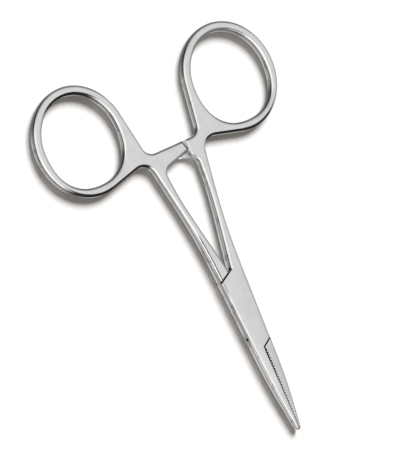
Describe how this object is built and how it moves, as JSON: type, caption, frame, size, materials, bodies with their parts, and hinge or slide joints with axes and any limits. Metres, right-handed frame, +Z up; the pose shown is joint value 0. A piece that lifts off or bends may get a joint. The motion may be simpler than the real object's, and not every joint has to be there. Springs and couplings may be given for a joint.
{
  "type": "mosquito forceps",
  "caption": "Straight finger-ring forceps with a box lock, a toothed ratchet between the shanks and fine cross-serrated jaws, shown closed.",
  "frame": {"origin": "where the pivot axis meets the lower face of the box lock", "axes": "+Y along the instrument from the jaws towards the finger rings, +Z up out of the upper face, +X towards the ring of the slotted half"},
  "size_m": [0.0594, 0.0886, 0.0032],
  "materials": {
    "steel": "satin faces with polished edges",
    "pin_steel": "riveted and ground flush"
  },
  "bodies": {
    "box_side": {"box_half": "steel", "pivot_pin": "pin_steel"},
    "insert_side": {"insert_half": "steel"}
  },
  "joints": [
    {"name": "box_lock", "type": "hinge", "parent": "box_side", "child": "insert_side", "pos_m": [0, 0, 0.0016], "axis": [0, 0, 1], "range_deg": [0, 60]}
  ]
}
